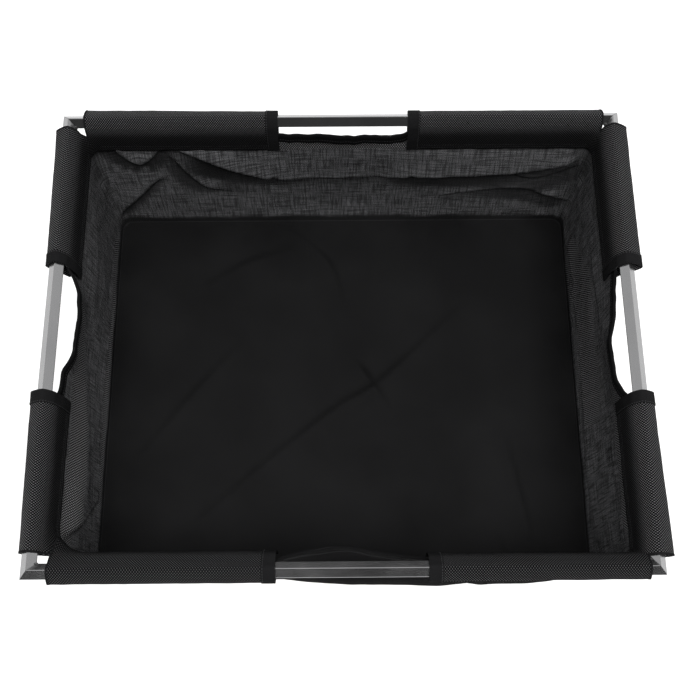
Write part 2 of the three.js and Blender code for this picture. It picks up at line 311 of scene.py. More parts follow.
def wovenCloth(name, look):
    # over-and-under threads on the cut's own coordinates, with wear and dust on top
    n = Nodes(name)
    cut = n.add("UVMap", {"uv_map": "cut"}).outputs["UV"]
    dot = dotLattice(n, cut, look["across"], look["down"])
    threads = n.ramp(dot, [(0.1, look["gap"]), (0.3, look["thread"]), (0.62, look["crown"])])
    height = dot
    if look.get("openMesh"):
        # coarse open mesh in painted bands of the cloth
        band = n.add("Attribute", {"attribute_name": "openMesh"}).outputs["Fac"]
        coarse = dotLattice(n, cut, look["meshAcross"], look["meshDown"])
        coarseColor = n.ramp(coarse, [(0.2, look["meshGap"]), (0.42, look["worn"]), (0.7, look["openMesh"])])
        streaks = threads
        for stretch in ((1, 0.06, 1), (0.06, 1, 1)):
            slub = n.spread(n.noiseAt(cut, 480, 2, 0.5, stretch), 0.36, 0.6, 1 - look["slub"], 1)
            streaks = n.mixColor(1.0, streaks, n.ramp(slub, [(0, (0, 0, 0)), (1, (1, 1, 1))]), "MULTIPLY")
        threads = n.mixColor(band, streaks, coarseColor)
        height = n.mixValue(band, height, coarse)
    if look.get("shadeColor"):
        shade = n.add("Attribute", {"attribute_name": "shade"}).outputs["Fac"]
        threads = n.mixColor(shade, threads, (*look["shadeColor"], 1))
    objectPlace = n.add("TexCoord").outputs["Object"]
    patches = n.noiseAt(objectPlace, 9, 4)
    fibres = n.noiseAt(cut, 1500, 2, stretch=(1, 0.3, 1))
    worn = n.mixColor(n.spread(patches, 0.35, 0.75, 0, look["wear"]), threads, (*look["worn"], 1))
    tinted = n.mixColor(n.spread(fibres, 0.3, 0.7, 0.3, 0), worn, (*look["gap"], 1))
    creases = n.noiseAt(objectPlace, 55, 3, stretch=(1, 1, 0.6))
    soft = n.bump(creases, 0.0012, look["creases"])
    normal = n.bump(height, look["relief"], 1.0, soft)
    roughness = n.spread(patches, 0.3, 0.7, look["roughness"] - 0.08, look["roughness"] + 0.06)
    n.link(n.spread(height, 0.15, 0.6, 0, look["gloss"]), n.shader.inputs["Specular IOR Level"])
    return n.finish(tinted, roughness, normal)


sleeveLook = {
    "across": 3.0 * mm,
    "down": 3.4 * mm,
    "gap": (0.002, 0.002, 0.0021),
    "thread": (0.02, 0.02, 0.0207),
    "crown": (0.155, 0.155, 0.161),
    "worn": (0.03, 0.03, 0.031),
    "wear": 0.1,
    "shadeColor": (0.004, 0.004, 0.0041),
    "relief": 0.6 * mm,
    "creases": 0.35,
    "roughness": 0.55,
    "gloss": 0.4,
}
wallLook = {
    **sleeveLook,
    "across": 1.5 * mm,
    "down": 1.5 * mm,
    "gap": (0.04, 0.04, 0.0415),
    "thread": (0.19, 0.19, 0.1965),
    "crown": (0.46, 0.46, 0.476),
    "worn": (0.15, 0.15, 0.153),
    "slub": 0.68,
    "openMesh": (0.4, 0.4, 0.413),
    "meshGap": (0.003, 0.003, 0.0031),
    "meshAcross": 3.1 * mm,
    "meshDown": 6.4 * mm,
    "shadeColor": (0.0075, 0.0075, 0.0077),
    "relief": 0.2 * mm,
    "roughness": 0.6,
    "gloss": 0.15,
}
floorLook = {
    **sleeveLook,
    "shadeColor": (0.003, 0.003, 0.0031),
    "across": 1.3 * mm,
    "down": 1.3 * mm,
    "gap": (0.007, 0.007, 0.0072),
    "thread": (0.0115, 0.0115, 0.0118),
    "crown": (0.018, 0.018, 0.0184),
    "worn": (0.019, 0.019, 0.0195),
    "wear": 0.55,
    "relief": 0.12 * mm,
    "roughness": 0.7,
    "gloss": 0.1,
}
backingLook = {
    **floorLook,
    "gap": (0.008, 0.008, 0.0082),
    "thread": (0.011, 0.011, 0.0113),
    "crown": (0.016, 0.016, 0.0165),
    "roughness": 0.65,
    "gloss": 0.02,
}
hemLook = {
    **sleeveLook,
    "shadeColor": None,
    "across": 1.2 * mm,
    "down": 1.2 * mm,
    "gap": (0.008, 0.008, 0.0085),
    "thread": (0.012, 0.012, 0.0125),
    "crown": (0.02, 0.02, 0.0205),
    "relief": 0.12 * mm,
    "roughness": 0.75,
    "gloss": 0.15,
}
tapeLook = {
    **hemLook,
    "across": 1.8 * mm,
    "down": 1.1 * mm,
    "gap": (0.004, 0.004, 0.004),
    "thread": (0.008, 0.008, 0.0085),
    "crown": (0.014, 0.014, 0.015),
    "relief": 0.3 * mm,
}
backingCloth = wovenCloth("backingCloth", backingLook)
sleeveCloth = wovenCloth("sleeveCloth", sleeveLook)
wallCloth = wovenCloth("wallCloth", wallLook)
floorCloth = wovenCloth("floorCloth", floorLook)
hemCloth = wovenCloth("hemCloth", hemLook)
bindingTape = wovenCloth("bindingTape", tapeLook)


def sewingThread():
    n = Nodes("sewingThread")
    objectPlace = n.add("TexCoord").outputs["Object"]
    twist = n.noiseAt(objectPlace, 900, 2)
    color = n.ramp(twist, [(0.3, (0.012, 0.012, 0.013)), (0.7, (0.05, 0.05, 0.053))])
    return n.finish(color, n.spread(twist, 0.3, 0.7, 0.35, 0.6), n.bump(twist, 0.2 * mm, 0.5))


def paintedSteel(name, look):
    # powder paint over tube, with drawing marks along it and rubs
    n = Nodes(name)
    objectPlace = n.add("TexCoord").outputs["Object"]
    grain = n.noiseAt(objectPlace, 900, 3)
    cloud = n.noiseAt(objectPlace, 14, 4, 0.6)
    rubs = n.noiseAt(objectPlace, 160, 6, 0.75)
    base = n.ramp(cloud, [(0.3, look["dark"]), (0.7, look["light"])])
    speck = n.mixColor(n.spread(grain, 0.45, 0.7, 0, 0.25), base, (*look["speck"], 1))
    worn = n.mixColor(n.spread(rubs, 0.68, 0.78, 0, 0.5), speck, (*look["rub"], 1))
    roughness = n.spread(cloud, 0.3, 0.7, look["roughness"] - 0.05, look["roughness"] + 0.07)
    normal = n.bump(grain, 0.12 * mm, look["texture"])
    return n.finish(worn, roughness, normal, Metallic=look["metallic"], Specular_IOR_Level=0.5)


rimLook = {
    "dark": (0.34, 0.34, 0.345),
    "light": (0.4, 0.4, 0.405),
    "speck": (0.46, 0.46, 0.46),
    "rub": (0.25, 0.25, 0.255),
    "roughness": 0.21,
    "texture": 0.08,
    "metallic": 0.95,
}
rimPaint = paintedSteel("rimPaint", rimLook)
basePaint = paintedSteel("basePaint", {**rimLook, "roughness": 0.42, "texture": 0.4})
weldLook = {**rimLook, "dark": (0.18, 0.18, 0.18), "texture": 1.0, "roughness": 0.5}
weldSteel = paintedSteel("weldSteel", weldLook)


def zincPlate():
    n = Nodes("zincPlate")
    objectPlace = n.add("TexCoord").outputs["Object"]
    spangle = n.add("TexVoronoi", Scale=420.0)
    n.link(objectPlace, spangle.inputs["Vector"])
    cloud = n.noiseAt(objectPlace, 40, 4, 0.6)
    tone = n.ramp(spangle.outputs["Distance"], [(0.0, (0.46, 0.47, 0.48)), (0.8, (0.62, 0.62, 0.63))])
    dull = n.mixColor(n.spread(cloud, 0.45, 0.75, 0, 0.5), tone, (0.34, 0.34, 0.34, 1))
    roughness = n.spread(cloud, 0.3, 0.7, 0.28, 0.5)
    return n.finish(dull, roughness, n.bump(cloud, 0.1 * mm, 0.3), Metallic=0.9)


def mouldedPlastic(name, dark, light, roughness):
    n = Nodes(name)
    objectPlace = n.add("TexCoord").outputs["Object"]
    grain = n.noiseAt(objectPlace, 1300, 3)
    cloud = n.noiseAt(objectPlace, 25, 4)
    color = n.ramp(cloud, [(0.3, dark), (0.7, light)])
    dusty = n.mixColor(n.spread(grain, 0.5, 0.8, 0, 0.2), color, (*light, 1))
    dullness = n.spread(cloud, 0.3, 0.7, roughness - 0.08, roughness + 0.1)
    return n.finish(dusty, dullness, n.bump(grain, 0.1 * mm, 0.3))


def tyreRubber():
    n = Nodes("tyreRubber")
    objectPlace = n.add("TexCoord").outputs["Object"]
    grain = n.noiseAt(objectPlace, 700, 4)
    dust = n.noiseAt(objectPlace, 35, 5, 0.65)
    color = n.ramp(dust, [(0.35, (0.011, 0.011, 0.012)), (0.75, (0.045, 0.043, 0.04))])
    roughness = n.spread(dust, 0.3, 0.7, 0.7, 0.92)
    return n.finish(color, roughness, n.bump(grain, 0.25 * mm, 0.6), Specular_IOR_Level=0.3)


def deckPlywood():
    # face grain along the cart, plies on the edges
    n = Nodes("deckPlywood")
    objectPlace = n.add("TexCoord").outputs["Object"]
    rings = n.noiseAt(objectPlace, 26, 6, 0.6, (0.12, 1.6, 1))
    pores = n.noiseAt(objectPlace, 700, 2, 0.5, (0.05, 1, 1))
    grain = n.ramp(rings, [(0.3, (0.36, 0.23, 0.12)), (0.5, (0.52, 0.36, 0.2)), (0.72, (0.6, 0.45, 0.27))])
    fine = n.mixColor(n.spread(pores, 0.55, 0.75, 0, 0.5), grain, (0.24, 0.15, 0.08, 1))
    place3 = n.add("SeparateXYZ")
    n.link(objectPlace, place3.inputs[0])
    ply = n.math("FRACT", n.math("MULTIPLY", place3.outputs["Z"], 1 / (3.2 * mm)))
    plies = n.ramp(ply, [(0.46, (1, 1, 1)), (0.54, (0.55, 0.5, 0.45))])
    edge = n.add("NewGeometry")
    up = n.add("SeparateXYZ")
    n.link(edge.outputs["Normal"], up.inputs[0])
    onEdge = n.math("LESS_THAN", n.math("ABSOLUTE", up.outputs["Z"]), 0.5)
    color = n.mixColor(onEdge, fine, n.mixColor(1.0, fine, plies, "MULTIPLY"))
    roughness = n.spread(rings, 0.3, 0.7, 0.55, 0.75)
    return n.finish(color, roughness, n.bump(pores, 0.2 * mm, 0.4))


threadMaterial = sewingThread()
zinc = zincPlate()
hubPlastic = mouldedPlastic("hubPlastic", (0.055, 0.057, 0.06), (0.085, 0.087, 0.09), 0.5)
pedalPlastic = mouldedPlastic("pedalPlastic", (0.3, 0.012, 0.008), (0.4, 0.02, 0.012), 0.42)
rubber = tyreRubber()
plywood = deckPlywood()
print("materials made")


# Stitches: one is modelled, and a row is its copies
stitch = {"length": 2.3 * mm, "width": 0.75 * mm, "height": 0.5 * mm, "spacing": 3.4 * mm}
bpy.ops.mesh.primitive_uv_sphere_add(segments=6, ring_count=4, radius=0.5)
stitchModel = bpy.context.active_object
stitchModel.scale = (stitch["length"], stitch["width"], stitch["height"])
settle(stitchModel)
stitchPoints = np.array([v.co for v in stitchModel.data.vertices])
stitchFaces = [tuple(p.vertices) for p in stitchModel.data.polygons]
bpy.data.objects.remove(stitchModel)


def stitchRows(name, rows):
    # rows: (points of a line, the way off the cloth)
    vertices = []
    faces = []
    for line, away in rows:
        line = np.array(line, float)
        along = np.concatenate([[0], np.cumsum(np.linalg.norm(np.diff(line, axis=0), axis=1))])
        places = np.arange(stitch["spacing"], along[-1] - stitch["spacing"] / 2, stitch["spacing"])
        away = np.broadcast_to(np.array(away, float), line.shape)
        for at in places:
            centre = np.array([np.interp(at, along, line[:, k]) for k in range(3)])
            ahead = np.array([np.interp(at + 1 * mm, along, line[:, k]) for k in range(3)]) - centre
            ahead /= np.linalg.norm(ahead) + 1e-9
            off = np.array([np.interp(at, along, away[:, k]) for k in range(3)])
            off -= ahead * off.dot(ahead)
            off /= np.linalg.norm(off) + 1e-9
            basis = np.stack([ahead, np.cross(off, ahead), off])
            first = len(vertices)
            vertices += (centre + stitchPoints @ basis).tolist()
            faces += [tuple(first + i for i in face) for face in stitchFaces]
    mesh = bpy.data.meshes.new(name)
    mesh.from_pydata(vertices, [], faces)
    piece = bpy.data.objects.new(name, mesh)
    scene.collection.objects.link(piece)
    only(piece)
    bpy.ops.object.shade_smooth()
    return belongs(piece, "cart", "binding_tape", threadMaterial)


# The tub, a bag of four walls on a floor
tub = {
    "topInset": 10.4 * mm,
    "bottomInset": 19.5 * mm,
    "seamDepth": 33,  # millimetres, under the sleeves
    "cornerRadius": {
        "front_left": 48 * mm,
        "back_left": 20 * mm,
        "front_right": 14 * mm,
        "back_right": 18 * mm,
    },
    "lowRadius": 14 * mm,  # all corners, at the floor
    "straightTo": 35 * mm,  # below this the walls slope inwards
    "foot": 3.5 * mm,  # the turn from wall to floor
    "footShadeFrom": 222,  # millimetres down the wall
    "footShadeOver": 9,
    "cavityShade": 0.92,
    "cornerShade": 0.7,
    "cornerShadeOver": 9,
    "creaseShade": 0.85,
    "edgeShade": 0.45,  # the floor's edge, and how far in it reaches
    "edgeShadeOver": 80,
    "edgeRise": 0.8 * mm,
    "edgeRiseOver": 14,
    "edgeLap": 2.5 * mm,
    "liftFrom": 30,  # how far in the floor's creases reach their full height
    "thickness": 1.1 * mm,
    "step": 5 * mm,
    "rows": 50,
    "footRows": 6,
    "arcColumns": 4,
}


def cornerRadii(sideName):
    # at the side's low end and its high end
    if sideName in ("left", "right"):
        return tub["cornerRadius"]["front_" + sideName], tub["cornerRadius"]["back_" + sideName]
    return tub["cornerRadius"][sideName + "_left"], tub["cornerRadius"][sideName + "_right"]


def cornerPull(sideName, along):
    # how far a rounded corner of the tub draws the cloth in from the straight line
    side = rimSides[sideName]
    pull = np.zeros(np.shape(along))
    for end, radius in zip((-1, 1), cornerRadii(sideName)):
        past = np.maximum(end * along - (side["endReach"] - tub["topInset"] - radius), 0)
        pull = pull + radius - np.sqrt(np.maximum(radius**2 - np.minimum(past, radius) ** 2, 0))
    return pull


# Sleeves. overhang: how far the cloth hangs out past the rail, from the sleeve's low end to its high end
sleeve = {
    "thickness": 1.0 * mm,
    "flapDepth": 45 * mm,
    "flapInset": 12.9 * mm,
    "flare": {"front": 1.5, "right": 3, "back": 1.5, "left": 4},
    "innerHang": {"front_a": 9, "front_b": 4.5},
    "flapShade": 0.8,
    # painted shade, laid evenly over the front sleeves
    "paintedShade": {"front_a": 0.48, "front_b": 0.5},
    "seamDepth": 35 * mm,
    "seamInset": 8.4 * mm,
    "step": 3 * mm,
    "around": 46,
    "ripple": 0.9 * mm,
    "hem": 15 * mm,  # at the handhold
    "turnedEdge": 1.8 * mm,  # at the rim's corner
    "hemThickness": 0.9 * mm,
    "turnedThickness": 0.3 * mm,
    "postSlot": 21 * mm,
    "trim": {"left_b": (8 * mm, 0), "front_b": (0, -3 * mm)},
    "overhang": {
        "front_a": (3.6, 3.4),
        "front_b": (3.2, 2.6),
        "right_a": (9.2, 5.4),
        "right_b": (8.6, 8.2),
        "back_a": (4.0, 4.2),
        "back_b": (7.8, 4.8),
        "left_a": (3.0, 6.6),
        "left_b": (2.6, 6.4),
    },
}


def sleeveSection(overhang, flare, hang):
    # (outward, up) round the rail, from the flap's edge in the tub to the seam outside it
    reach = railHalf / mm
    skin = 1.3
    corner = reach + overhang
    inner = -sleeve["flapInset"] / mm - hang
    return [
        (inner - flare, -sleeve["flapDepth"] / mm),
        (inner - flare * 0.8, -34),
        (inner - flare * 0.4, -20),
        (-reach - skin - 0.7 - hang * 0.8, -6),
        (-reach - skin + 0.6 - hang * 0.45, -0.4),
        (-reach / 2 - skin * 0.7, reach / 2 + skin * 0.8),
        (-1.3, reach + skin - 0.35),
        (1.3, reach + skin - 0.35),
        (corner / 2 + skin * 0.6, reach / 2 + skin * 0.9),
        (corner - 0.6, -0.2),
        (corner + 0.2, -3.2),
        (corner * 0.72, -10),
        (0.5, -21),
        (-sleeve["seamInset"] / mm, -sleeve["seamDepth"] / mm),
    ]


def sleevePoints(sideName, key, stations, offset):
    # the sleeve's surface at stations along the rail, moved off by offset
    side = rimSides[sideName]
    low, high = sleeveEnds(key)
    share = np.clip((stations - low) / (high - low), 0, 1)
    first, last = sleeve["overhang"][key]
    grid = []
    cut = []
    for part in share:
        hang = first + (last - first) * part
        outline = sleeveSection(hang, sleeve["flare"][sideName], sleeve["innerHang"].get(key, 0))
        section = curveThrough(outline, sleeve["around"]) * mm
        grid.append(section)
        lengths = np.linalg.norm(np.diff(section, axis=0), axis=1)
        cut.append(np.concatenate([[0], np.cumsum(lengths)]))
    grid = np.array(grid)
    pulled = cornerPull(sideName, stations)[:, None] * smoothStep((-grid[..., 1] - 6 * mm) / (22 * mm))
    grid[..., 0] -= pulled
    tangent = np.gradient(grid, axis=1)
    normal = np.stack([-tangent[..., 1], tangent[..., 0]], axis=-1)
    normal /= np.linalg.norm(normal, axis=-1, keepdims=True)
    seed = sum(ord(letter) for letter in key)
    girth = np.linspace(0, 1, sleeve["around"])[None, :]
    ripple = lumps(stations[:, None] / mm, girth * 100, 34, 26, seed) * 0.7
    ripple = ripple + lumps(stations[:, None] / mm, girth * 100, 11, 14, seed + 3) * 0.35
    loose = 0.35 + 0.65 * np.clip(np.abs(girth - 0.5) * 3.2, 0, 1)
    grid = grid + normal * (offset + sleeve["ripple"] * (ripple * loose + 0.25))[..., None]
    along = np.broadcast_to(stations[:, None], grid.shape[:2])
    flat = np.stack([along, np.array(cut)], axis=-1)
    return place(side, along, grid[..., 0], grid[..., 1]), flat


def sleeveEnds(key):
    sideName = key.split("_")[0]
    low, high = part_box("tub_sleeve_" + key)
    axis = rimSides[sideName]["along"]
    lowTrim, highTrim = sleeve["trim"].get(key, (0, 0))
    return low.dot(axis) + lowTrim, high.dot(axis) - highTrim


def makeSleeve(key):
    sideName = key.split("_")[0]
    side = rimSides[sideName]
    low, high = sleeveEnds(key)
    stations = np.linspace(low, high, round((high - low) / sleeve["step"]) + 1)
    points, flat = sleevePoints(sideName, key, stations, 0.0)
    axisLine = np.array(side["out"]) * side["reach"]

    def away(centres):
        across = centres - axisLine - np.array((0, 0, railZ - 10 * mm))
        across -= np.multiply.outer(centres @ np.array(side["along"]), np.array(side["along"]))
        return across

    hole = None
    posts = [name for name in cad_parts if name.startswith("post_")]
    if sideName in ("left", "right"):
        hole = np.zeros(points.shape[:2], bool)
        for post in posts:
            at = middle(post).y
            near = np.abs(stations[:, None] - at) < sleeve["postSlot"] / 2
            under = np.arange(sleeve["around"])[None, :] > sleeve["around"] * 0.66
            hole |= near & under
    # painted shade: darker on the inner flap under the rail, and evenly darker on the front sleeves
    shade = sleeve["flapShade"] * smoothStep((-4 * mm - (points[..., 2] - railZ)) / (12 * mm))
    shade[:, sleeve["around"] // 2 :] = 0
    shade = np.maximum(shade, sleeve["paintedShade"].get(key, 0))
    piece = clothGrid("tub_sleeve_cloth_" + key, points, flat, away, hole, {"shade": shade})
    applied(piece, "SOLIDIFY", thickness=sleeve["thickness"], offset=1.0, use_even_offset=True)
    belongs(piece, "cart", "sleeve_cloth", sleeveCloth, "tub_sleeve_" + key)

    rows = []
    for end, inward in ((low, 1), (high, -1)):
        atHandhold = abs(end) < abs(low + high) / 2
        hemWidth = sleeve["hem"] if atHandhold else sleeve["turnedEdge"]
        hemStations = end + inward * np.linspace(-0.4 * mm, hemWidth, 7)
        hemPoints, hemFlat = sleevePoints(sideName, key, hemStations, sleeve["thickness"] + 0.1 * mm)
        hem = clothGrid(f"tub_sleeve_hem_{key}_{'low' if inward > 0 else 'high'}", hemPoints, hemFlat, away)
        thickness = sleeve["hemThickness"] if atHandhold else sleeve["turnedThickness"]
        applied(hem, "SOLIDIFY", thickness=thickness, offset=1.0)
        if atHandhold:
            applied(hem, "BEVEL", width=0.3 * mm, segments=2, limit_method="ANGLE")
        belongs(hem, "cart", "sleeve_cloth", hemCloth)
        if not atHandhold:
            continue
        lift = sleeve["thickness"] + sleeve["hemThickness"] + 0.15 * mm
        line, _ = sleevePoints(sideName, key, np.array([end + inward * (sleeve["hem"] - 1.6 * mm)]), lift)
        rows.append((line[0], away(line[0])))
    seamPoints, _ = sleevePoints(sideName, key, stations, sleeve["thickness"] + 0.1 * mm)
    inside = -np.array(side["out"])
    for column in (2, 4):
        rows.append((seamPoints[4:-4, column], inside))
    stitchRows("tub_sleeve_stitches_" + key, rows)


for key in sleeve["overhang"]:
    makeSleeve(key)
print("sleeves sewn")


# Handholds: how far the bound edge is pushed into the tub, at places along the rail, and how deep it hangs
handhold = {
    "front": {
        "push": [(-74, 4), (-43, 12), (-15, 18), (2, 18), (25, 14), (46, 9), (93, 3)],
        "drop": [(-78, 12), (-66, 18), (0, 20), (80, 18), (97, 12)],
    },
    "right": {
        "push": [(-82, 1), (-76, 4), (-63, 10.5), (-40, 12), (-12, 13), (18, 5), (65, 0.3), (76, 0)],
        "drop": [(-86, 8), (-72, 15), (0, 19), (66, 17), (80, 10)],
    },
    "back": {
        "push": [(-80, 1), (-50, 0), (0, 1), (50, 0.5), (85, 1)],
        "drop": [(-84, 10), (-70, 14), (-20, 17), (10, 19), (70, 16), (89, 9)],
    },
    "left": {
        "push": [(-76, 0.5), (-68, 3), (-46, 2.5), (-35, 8), (-28, 12), (10, 14.5), (24, 15.5), (55, 13.5),
                 (75, 6), (83, 0.5)],
        "drop": [(-80, 8), (-70, 15), (0, 19), (70, 16), (87, 8)],
    },
}
tape = {"width": 16 * mm, "thickness": 0.8 * mm, "spread": 1.1 * mm, "step": 2.5 * mm, "wave": 3.4 * mm}

# A fold line is (along, depth, strength) points; the cloth above it laps over the cloth below
folds = {
    "back": [
        {"line": [(-80, 42, 0.8), (-35, 38, 1), (0, 36, 1), (40, 42, 1), (84, 47, 0.8)],
         "rise": 1.2, "fall": 1.5, "above": 8, "below": 8, "lap": 0.5, "dark": 4},
        {"line": [(-226, 44, 0.1), (-179, 64, 1), (-136, 91, 1), (-90, 114, 0.7), (-30, 120, 0.35),
                  (40, 118, 0.35), (90, 110, 0.9), (174, 103, 1), (240, 96, 0.95), (300, 82, 0.8)],
         "rise": 13.1, "fall": 12, "above": 26, "below": 24, "lap": 7, "dark": 53},
        {"line": [(-306, 14, 0.4), (-292, 52, 0.8), (-268, 76, 1), (-246, 62, 0.8), (-230, 36, 0.1)],
         "rise": 11.2, "fall": 10, "above": 18, "below": 16, "lap": 4.5, "dark": 38},
        {"line": [(-226, 62, 0.2), (-211, 100, 0.9), (-188, 140, 0.8), (-160, 158, 0.2)],
         "rise": 9.38, "fall": 8, "above": 16, "below": 18, "lap": 3, "dark": 36},
        {"line": [(-318, 211, 1), (-256, 131, 0.8)],
         "rise": 7.5, "fall": 8, "above": 22, "below": 14, "lap": 3, "dark": 22},
        {"line": [(150, 172, 0.3), (221, 149, 0.9), (260, 152, 0.9), (279, 165, 0.8), (312, 180, 0.8)],
         "rise": 9.38, "fall": 10, "above": 20, "below": 14, "lap": 4.5, "dark": 46},
        {"line": [(225, 118, 0.3), (262, 124, 0.9), (300, 110, 0.8), (316, 92, 0.6)],
         "rise": 7.5, "fall": 8, "above": 14, "below": 14, "lap": 3, "dark": 42},
    ],
    "left": [
        {"line": [(-246, 38, 0.6), (-198, 142, 1), (-165, 205, 0.6)],
         "rise": 5, "fall": 5, "above": 20, "below": 16, "lap": 2},
        {"line": [(-22, 92, 0.7), (-16, 232, 0.7)],
         "rise": 0.8, "fall": 1, "above": 8, "below": 8, "lap": 0, "dark": 4},
        {"line": [(-150, 150, 0.5), (-60, 128, 0.8), (40, 120, 0.7), (150, 112, 0.6), (240, 90, 0.5)],
         "rise": 5, "fall": 4, "above": 34, "below": 26, "lap": 0},
        {"line": [(-140, 206, 0.5), (-20, 196, 0.9), (100, 200, 0.9), (200, 205, 0.4)],
         "rise": 4, "fall": 3, "above": 22, "below": 16, "lap": 0},
    ],
    "right": [
        {"line": [(-42, 92, 0.7), (-36, 232, 0.7)],
         "rise": 0.8, "fall": 1, "above": 8, "below": 8, "lap": 0, "dark": 4},
        {"line": [(-230, 90, 0.4), (-120, 100, 0.8), (0, 84, 0.7), (120, 96, 0.5)],
         "rise": 5, "fall": 4, "above": 30, "below": 26, "lap": 0},
        {"line": [(-220, 200, 0.4), (-120, 205, 0.7), (40, 190, 0.7), (180, 200, 0.5)],
         "rise": 4, "fall": 3, "above": 24, "below": 18, "lap": 0},
        {"line": [(250, 50, 0.6), (215, 120, 1), (200, 200, 0.6)],
         "rise": 5, "fall": 4, "above": 18, "below": 16, "lap": 2},
    ],
    "front": [
        {"line": [(-240, 70, 0.4), (-120, 110, 0.8), (40, 150, 0.8), (200, 130, 0.6), (300, 90, 0.4)],
         "rise": -3, "fall": -5, "above": 30, "below": 30, "lap": 0},
        {"line": [(120, 60, 0.3), (200, 170, 0.8), (260, 215, 0.4)],
         "rise": -3, "fall": -4, "above": 20, "below": 22, "lap": 0},
        {"line": [(-300, 60, 0.4), (-230, 150, 0.9), (-180, 215, 0.4)],
         "rise": -3, "fall": -4, "above": 20, "below": 22, "lap": 0},
    ],
}
# Bands of open mesh: (along, depth) lines with half their width
meshBands = {
    "left": [([(-246, 48), (-200, 85), (-90, 92), (-20, 80), (30, 55)], 34),
             ([(-150, 224), (-20, 220), (200, 215)], 22)],
    "right": [([(-215, 60), (-120, 62), (-80, 50)], 18), ([(-30, 170), (100, 150), (160, 200)], 50)],
    "back": [([(-75, 40), (80, 40)], 10)],
    "front": [([(-60, 42), (80, 42)], 10)],
}
# Soft hollows and bellies: (along, depth, half width, half height, push into the tub)
bellies = {
    "front": [(-16, 100, 75, 55, -13), (66, 100, 70, 55, -9), (135, 100, 70, 55, -13),
              (225, 100, 60, 55, -13), (-200, 110, 90, 60, -4), (-195, 42, 110, 26, 8),
              (215, 42, 100, 26, 4)],
    "back": [(0, 180, 200, 50, -5), (-120, 90, 60, 30, 2), (150, 70, 90, 22, 3)],
    "left": [(-165, 112, 110, 48, 10), (0, 120, 60, 50, -3), (120, 120, 80, 60, 5), (0, 215, 200, 30, 3)],
    "right": [(-100, 110, 90, 50, -4), (90, 120, 90, 60, 4), (0, 215, 200, 30, 3)],
}


# How a handhold's push into the tub fades at its ends and, from a depth, down the wall, in millimetres
openingFade = {"ends": 12, "from": 20, "down": 46}
# How a fold's edge, its ends and the shade under it soften, in millimetres
foldShape = {"edge": 3.0, "ends": 12, "slide": 9, "dark": 12, "darkEdge": 12}


def lapOver(along, depth, fold):
    # push into the tub and slide down near a fold line, in millimetres
    points = curveThrough(fold["line"], 4 * len(fold["line"]))
    best = np.full(along.shape, 1e9)
    signed = np.zeros(along.shape)
    strength = np.zeros(along.shape)
    for start, end in zip(points[:-1], points[1:]):
        run = end[:2] - start[:2]
        length = np.hypot(*run)
        share = ((along - start[0]) * run[0] + (depth - start[1]) * run[1]) / length**2
        held = np.clip(share, 0, 1)
        dx = along - (start[0] + held * run[0])
        dy = depth - (start[1] + held * run[1])
        distance = np.hypot(dx, dy)
        beyond = np.abs(share - held) * length
        side = np.sign(run[0] * (depth - start[1]) - run[1] * (along - start[0])) * np.sign(run[0] + 1e-9)
        nearer = distance < best
        best = np.where(nearer, distance, best)
        signed = np.where(nearer, side * distance, signed)
        value = (start[2] + held * (end[2] - start[2])) * np.exp(-((beyond / foldShape["ends"]) ** 2))
        strength = np.where(nearer, value, strength)
    soft = foldShape["edge"]
    below = smoothStep((signed + soft) / (2 * soft))
    above = fold["rise"] * np.exp(np.minimum(signed, 0) / fold["above"])
    under = -fold["fall"] * np.exp(-np.maximum(signed, 0) / fold["below"])
    push = strength * ((1 - below) * above + below * under)
    slide = strength * fold["lap"] * (1 - below) * np.exp(np.minimum(signed, 0) / foldShape["slide"])
    reach = fold.get("dark", foldShape["dark"]) * (0.3 + 0.7 * np.clip(strength, 0, 1))
    cavity = strength * below * smoothStep((reach - signed) / foldShape["darkEdge"])
    return push, slide, cavity


def edgeDrop(sideName, along):
    # how deep the wall's top edge hangs at a place along the rail
    ends = [at for at, _ in handhold[sideName]["drop"]]
    drop = table(handhold[sideName]["drop"], along / mm) + 1.5
    outside = np.maximum(min(ends) - along / mm, along / mm - max(ends))
    return (drop + (tub["seamDepth"] - drop) * smoothStep(outside / 14)) * mm


def wallPush(sideName, along, depth):
    # along and depth in millimetres; the push into the tub and the slide down it, in millimetres
    hold = handhold[sideName]
    ends = [at for at, _ in hold["push"]]
    fade = openingFade["ends"]
    fromStart, fromEnd = along - min(ends), max(ends) - along
    inside = smoothStep((fromStart + fade / 2) / fade) * smoothStep((fromEnd + fade / 2) / fade)
    down = np.exp(-((np.maximum(depth - openingFade["from"], 0) / openingFade["down"]) ** 2))
    opening = table(hold["push"], along) * inside * down
    push = np.zeros(along.shape)
    slide = np.zeros(along.shape)
    cavity = np.zeros(along.shape)
    for fold in folds[sideName]:
        more, lower, dark = lapOver(along, depth, fold)
        push = push + more
        slide = slide + lower
        cavity = np.maximum(cavity, dark)
    for at, deep, halfWidth, halfHeight, amount in bellies[sideName]:
        push = push + amount * np.exp(-(((along - at) / halfWidth) ** 2) - ((depth - deep) / halfHeight) ** 2)
    seed = sum(ord(letter) for letter in sideName)
    push = push + 1.5 * lumps(along, depth, 52, 30, seed) + 0.55 * lumps(along, depth, 17, 13, seed + 5)
    held = 0.35 + 0.65 * smoothStep((depth - 20) / 40)  # the sleeves hold the top steady
    return opening + held * push, held * slide, cavity


